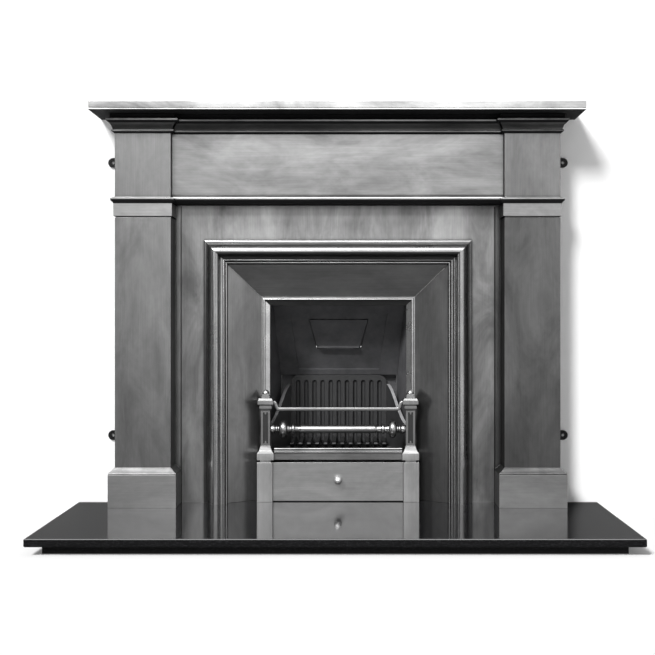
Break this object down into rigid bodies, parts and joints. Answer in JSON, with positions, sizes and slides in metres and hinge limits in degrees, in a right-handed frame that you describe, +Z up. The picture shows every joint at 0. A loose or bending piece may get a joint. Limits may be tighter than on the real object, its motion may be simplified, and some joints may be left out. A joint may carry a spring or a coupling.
{
  "type": "cast iron fireplace",
  "caption": "Open cast iron fireplace: pilastered mantel surround, insert with a mitred moulding and splayed cheeks, fire basket with a turned bar, ash drawer, and a granite hearth.",
  "frame": {"origin": "centre of the floor area that the whole fireplace covers, under the hearth; the wall face is the plane y = 0.17", "axes": "+X to the right as one faces the fireplace, +Y back into the wall and the chimney, +Z up"},
  "size_m": [1.5, 0.88, 1.1744],
  "materials": {
    "polished": "fully polished cast iron",
    "burnished": "polished cast iron, darker in its hollows",
    "steel": "polished steel bar",
    "fire_iron": "as-cast iron, matt blacked",
    "black_iron": "matt black paint",
    "zinc": "zinc plated",
    "granite": "polished black granite"
  },
  "bodies": {
    "root": {"right_jamb": "polished", "left_jamb": "polished", "frieze": "polished", "mantel_shelf": "polished", "insert_front": "polished", "right_splay": "polished", "left_splay": "polished", "hood": "polished", "opening_trim": "polished", "right_leg": "polished", "left_leg": "polished", "right_post": "burnished", "left_post": "burnished", "right_finial": "burnished", "left_finial": "burnished", "turned_bar": "burnished", "bottom_rail": "burnished", "top_rail": "steel", "damper_pin": "steel", "right_side_panel": "fire_iron", "left_side_panel": "fire_iron", "throat_plate": "fire_iron", "fireback": "fire_iron", "right_cheek": "fire_iron", "left_cheek": "fire_iron", "right_lower_lug": "black_iron", "left_lower_lug": "black_iron", "right_upper_lug": "black_iron", "left_upper_lug": "black_iron", "right_frieze_bolt_1": "zinc", "left_frieze_bolt_1": "zinc", "right_frieze_bolt_2": "zinc", "left_frieze_bolt_2": "zinc", "right_shelf_bolt": "zinc", "left_shelf_bolt": "zinc", "right_lower_lug_bolt": "zinc", "left_lower_lug_bolt": "zinc", "right_upper_lug_bolt": "zinc", "left_upper_lug_bolt": "zinc", "left_lower_insert_bolt": "zinc", "left_upper_insert_bolt": "zinc", "hood_insert_bolt": "zinc", "right_lower_insert_bolt": "zinc", "right_upper_insert_bolt": "zinc", "hearth_slab": "granite", "hearth_riser_front": "granite", "hearth_riser_back": "granite", "right_hearth_riser": "granite", "left_hearth_riser": "granite", "back_hearth_slab": "granite", "back_hearth_riser": "granite"},
    "ash_drawer": {"ash_cover": "polished", "ash_knob": "polished", "ash_pan": "black_iron", "right_pan_screw": "zinc", "left_pan_screw": "zinc"},
    "damper": {"damper_flap": "fire_iron"},
    "grate": {"bottom_grate": "fire_iron"}
  },
  "joints": [
    {"name": "drawer_slide", "type": "slide", "parent": "root", "child": "ash_drawer", "axis": [0, -1, 0], "range_m": [0, 0.2]},
    {"name": "damper_hinge", "type": "hinge", "parent": "root", "child": "damper", "pos_m": [0, 0.39852, 0.4787], "axis": [-1, 0, 0], "range_deg": [0, 50]},
    {"name": "grate_lift", "type": "slide", "parent": "root", "child": "grate", "axis": [0, 0, 1], "range_m": [0, 0.12]}
  ]
}
